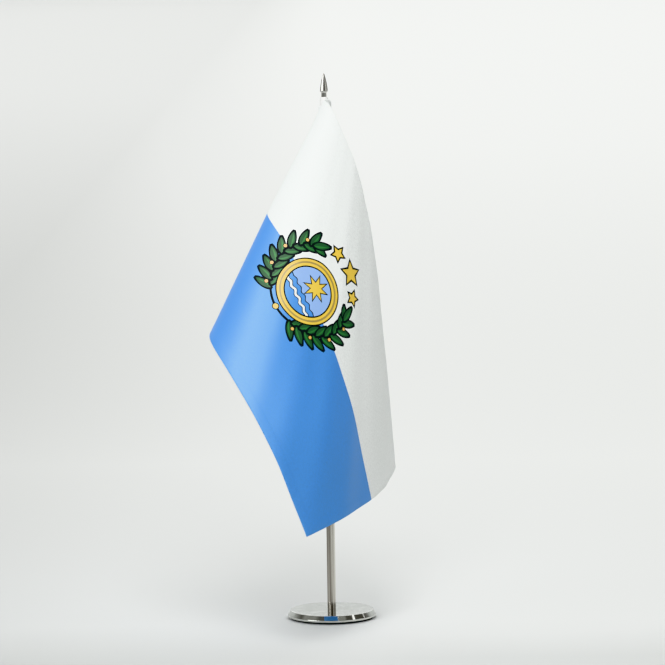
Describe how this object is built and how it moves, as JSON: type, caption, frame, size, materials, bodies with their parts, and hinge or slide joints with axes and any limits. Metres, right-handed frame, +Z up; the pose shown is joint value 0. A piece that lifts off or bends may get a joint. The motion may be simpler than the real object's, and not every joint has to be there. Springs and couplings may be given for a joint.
{
  "type": "desk flag stand",
  "caption": "Desk flag on a slim chromed pole with a spear finial and a bevelled round disc base; the two-tone satin flag hangs in one open fold.",
  "frame": {"origin": "centre of the base's underside, on the surface that it stands on", "axes": "+Z up along the pole; -Y towards the side that the flag hangs to; +X to the right of it"},
  "size_m": [0.1013, 0.1437, 0.308],
  "materials": {
    "chrome_base": "polished, slightly soft reflections",
    "pad": "matt foam rubber",
    "screw_steel": "zinc plated",
    "chrome_pole": "polished, faint drawn lines along the pole",
    "chrome_finial": "polished",
    "satin_white": "satin weave",
    "satin_print": "satin weave, upper half white and lower half light blue",
    "thread": "twisted polyester thread"
  },
  "bodies": {
    "base": {"base_disc": "chrome_base", "base_pad": "pad", "base_screw": "screw_steel"},
    "pole": {"pole": "chrome_pole"},
    "finial": {"finial": "chrome_finial"},
    "sleeve": {"sleeve": "satin_white"},
    "flag": {"flag_obverse": "satin_print", "flag_reverse": "satin_print", "hoist_stitching": "thread"}
  },
  "joints": [
    {"name": "pole_lift", "type": "slide", "parent": "base", "child": "pole", "axis": [0, 0, 1], "range_m": [0, 0.012]},
    {"name": "finial_lift", "type": "slide", "parent": "pole", "child": "finial", "axis": [0, 0, 1], "range_m": [0, 0.012]},
    {"name": "sleeve_slide", "type": "slide", "parent": "pole", "child": "sleeve", "axis": [0, 0, 1], "range_m": [-0.05, 0.15]},
    {"name": "flag_swivel", "type": "hinge", "parent": "sleeve", "child": "flag", "pos_m": [0, 0, 0.2265], "axis": [0, 0, 1], "continuous": true}
  ]
}
